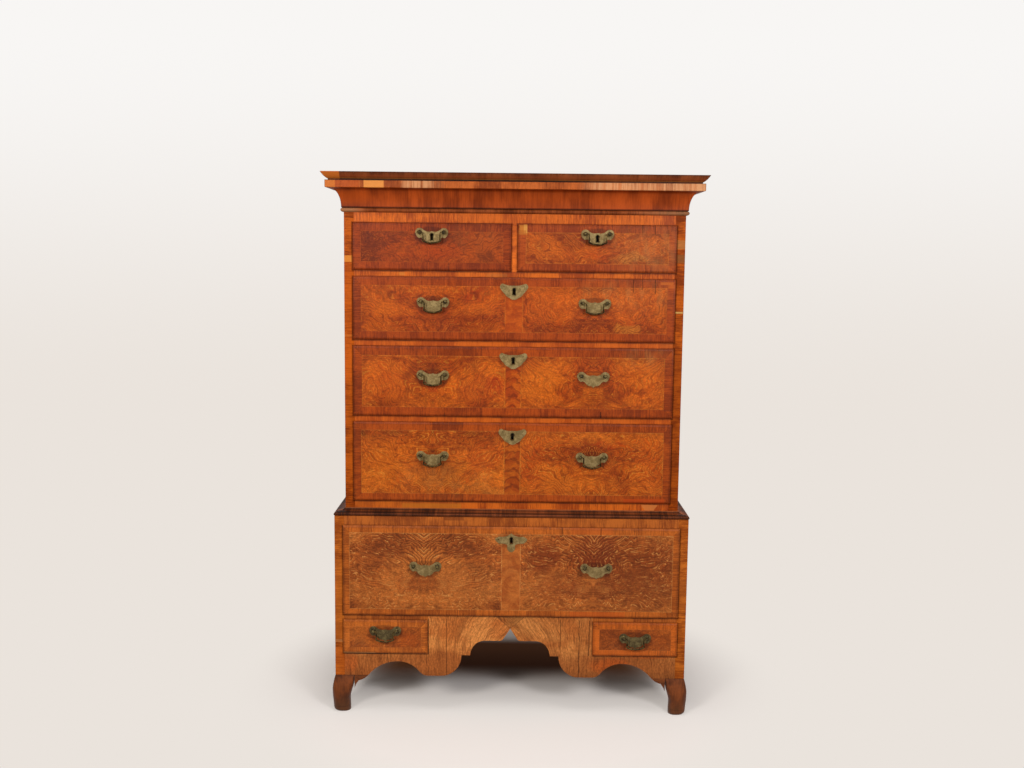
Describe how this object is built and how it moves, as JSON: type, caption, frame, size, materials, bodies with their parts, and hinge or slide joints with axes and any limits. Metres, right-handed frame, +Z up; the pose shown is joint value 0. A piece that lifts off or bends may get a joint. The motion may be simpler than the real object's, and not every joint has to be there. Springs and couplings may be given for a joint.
{
  "type": "chest on stand",
  "caption": "Walnut veneered chest on stand with short, long and deep drawers, brass pulls, a moulded cornice, a shaped apron and short cabriole feet.",
  "frame": {"origin": "on the floor at the middle of the footprint, the centre of the bounding box's bottom face", "axes": "+Z up, +Y towards the back so that the drawer fronts face -Y, +X to the right of someone facing the fronts"},
  "size_m": [1.104, 0.58, 1.6],
  "materials": {
    "walnut_front": "figured walnut veneer with crossbanding, old wax polish",
    "walnut_case": "cross-grained walnut veneer, old wax polish",
    "walnut_moulding": "cross-grained walnut moulding, old wax polish",
    "walnut_solid": "solid walnut, darkened, waxed",
    "oak": "plain sawn oak, dry and matt",
    "pine": "plain sawn pine, dry and matt",
    "brass": "aged brass, dull gold with green in the hollows",
    "iron": "dark wrought iron"
  },
  "bodies": {
    "carcase": {"upper_sides": "walnut_case", "top_board": "pine", "bottom_board": "pine", "upper_backboards": "pine", "upper_rails": "walnut_case", "upper_dustboards": "oak", "cornice": "walnut_moulding", "stand_sides": "walnut_case", "stand_backboards": "pine", "stand_rails": "walnut_case", "stand_dustboards": "oak", "apron": "walnut_case", "waist_moulding": "walnut_moulding", "feet": "walnut_solid", "knee_brackets": "walnut_solid"},
    "short_left_drawer": {"short_left_face": "walnut_front", "short_left_box": "oak", "short_left_brasses": "brass", "short_left_lock": "iron"},
    "short_left_bolt": {"short_left_bolt": "iron"},
    "short_right_drawer": {"short_right_face": "walnut_front", "short_right_box": "oak", "short_right_brasses": "brass", "short_right_lock": "iron"},
    "short_right_bolt": {"short_right_bolt": "iron"},
    "upper_long_drawer": {"upper_long_face": "walnut_front", "upper_long_box": "oak", "upper_long_brasses": "brass", "upper_long_lock": "iron"},
    "upper_long_bolt": {"upper_long_bolt": "iron"},
    "middle_long_drawer": {"middle_long_face": "walnut_front", "middle_long_box": "oak", "middle_long_brasses": "brass", "middle_long_lock": "iron"},
    "middle_long_bolt": {"middle_long_bolt": "iron"},
    "lower_long_drawer": {"lower_long_face": "walnut_front", "lower_long_box": "oak", "lower_long_brasses": "brass", "lower_long_lock": "iron"},
    "lower_long_bolt": {"lower_long_bolt": "iron"},
    "deep_drawer": {"deep_face": "walnut_front", "deep_box": "oak", "deep_brasses": "brass", "deep_lock": "iron"},
    "deep_bolt": {"deep_bolt": "iron"},
    "small_left_drawer": {"small_left_face": "walnut_front", "small_left_box": "oak", "small_left_brasses": "brass"},
    "small_right_drawer": {"small_right_face": "walnut_front", "small_right_box": "oak", "small_right_brasses": "brass"},
    "short_left_bail": {"short_left_bail": "brass"},
    "short_right_bail": {"short_right_bail": "brass"},
    "upper_long_bail_left": {"upper_long_bail_left": "brass"},
    "upper_long_bail_right": {"upper_long_bail_right": "brass"},
    "middle_long_bail_left": {"middle_long_bail_left": "brass"},
    "lower_long_bail_left": {"lower_long_bail_left": "brass"},
    "lower_long_bail_right": {"lower_long_bail_right": "brass"},
    "small_left_bail": {"small_left_bail": "brass"},
    "small_right_bail": {"small_right_bail": "brass"}
  },
  "joints": [
    {"name": "short_left_slide", "type": "slide", "parent": "carcase", "child": "short_left_drawer", "axis": [0, -1, 0], "range_m": [0, 0.36]},
    {"name": "short_left_lock_bolt", "type": "slide", "parent": "short_left_drawer", "child": "short_left_bolt", "axis": [0, 0, 1], "range_m": [0, 0.008]},
    {"name": "short_right_slide", "type": "slide", "parent": "carcase", "child": "short_right_drawer", "axis": [0, -1, 0], "range_m": [0, 0.36]},
    {"name": "short_right_lock_bolt", "type": "slide", "parent": "short_right_drawer", "child": "short_right_bolt", "axis": [0, 0, 1], "range_m": [0, 0.008]},
    {"name": "upper_long_slide", "type": "slide", "parent": "carcase", "child": "upper_long_drawer", "axis": [0, -1, 0], "range_m": [0, 0.36]},
    {"name": "upper_long_lock_bolt", "type": "slide", "parent": "upper_long_drawer", "child": "upper_long_bolt", "axis": [0, 0, 1], "range_m": [0, 0.008]},
    {"name": "middle_long_slide", "type": "slide", "parent": "carcase", "child": "middle_long_drawer", "axis": [0, -1, 0], "range_m": [0, 0.36]},
    {"name": "middle_long_lock_bolt", "type": "slide", "parent": "middle_long_drawer", "child": "middle_long_bolt", "axis": [0, 0, 1], "range_m": [0, 0.008]},
    {"name": "lower_long_slide", "type": "slide", "parent": "carcase", "child": "lower_long_drawer", "axis": [0, -1, 0], "range_m": [0, 0.36]},
    {"name": "lower_long_lock_bolt", "type": "slide", "parent": "lower_long_drawer", "child": "lower_long_bolt", "axis": [0, 0, 1], "range_m": [0, 0.008]},
    {"name": "deep_slide", "type": "slide", "parent": "carcase", "child": "deep_drawer", "axis": [0, -1, 0], "range_m": [0, 0.38]},
    {"name": "deep_lock_bolt", "type": "slide", "parent": "deep_drawer", "child": "deep_bolt", "axis": [0, 0, 1], "range_m": [0, 0.008]},
    {"name": "small_left_slide", "type": "slide", "parent": "carcase", "child": "small_left_drawer", "axis": [0, -1, 0], "range_m": [0, 0.38]},
    {"name": "small_right_slide", "type": "slide", "parent": "carcase", "child": "small_right_drawer", "axis": [0, -1, 0], "range_m": [0, 0.38]},
    {"name": "short_left_bail_swing", "type": "hinge", "parent": "short_left_drawer", "child": "short_left_bail", "pos_m": [-0.23925, -0.2532, 1.433], "axis": [-1, 0, 0], "range_deg": [-17, 155]},
    {"name": "short_right_bail_swing", "type": "hinge", "parent": "short_right_drawer", "child": "short_right_bail", "pos_m": [0.23925, -0.2532, 1.433], "axis": [-1, 0, 0], "range_deg": [-17, 155]},
    {"name": "upper_long_bail_left_swing", "type": "hinge", "parent": "upper_long_drawer", "child": "upper_long_bail_left", "pos_m": [-0.235, -0.2532, 1.2335], "axis": [-1, 0, 0], "range_deg": [-17, 155]},
    {"name": "upper_long_bail_right_swing", "type": "hinge", "parent": "upper_long_drawer", "child": "upper_long_bail_right", "pos_m": [0.235, -0.2532, 1.2335], "axis": [-1, 0, 0], "range_deg": [-17, 155]},
    {"name": "middle_long_bail_left_swing", "type": "hinge", "parent": "middle_long_drawer", "child": "middle_long_bail_left", "pos_m": [-0.235, -0.2532, 1.0205], "axis": [-1, 0, 0], "range_deg": [-17, 155]},
    {"name": "lower_long_bail_left_swing", "type": "hinge", "parent": "lower_long_drawer", "child": "lower_long_bail_left", "pos_m": [-0.235, -0.2532, 0.781], "axis": [-1, 0, 0], "range_deg": [-17, 155]},
    {"name": "lower_long_bail_right_swing", "type": "hinge", "parent": "lower_long_drawer", "child": "lower_long_bail_right", "pos_m": [0.235, -0.2532, 0.781], "axis": [-1, 0, 0], "range_deg": [-17, 155]},
    {"name": "small_left_bail_swing", "type": "hinge", "parent": "small_left_drawer", "child": "small_left_bail", "pos_m": [-0.3725, -0.2822, 0.255], "axis": [-1, 0, 0], "range_deg": [-17, 155]},
    {"name": "small_right_bail_swing", "type": "hinge", "parent": "small_right_drawer", "child": "small_right_bail", "pos_m": [0.3725, -0.2822, 0.241], "axis": [-1, 0, 0], "range_deg": [-17, 155]}
  ]
}
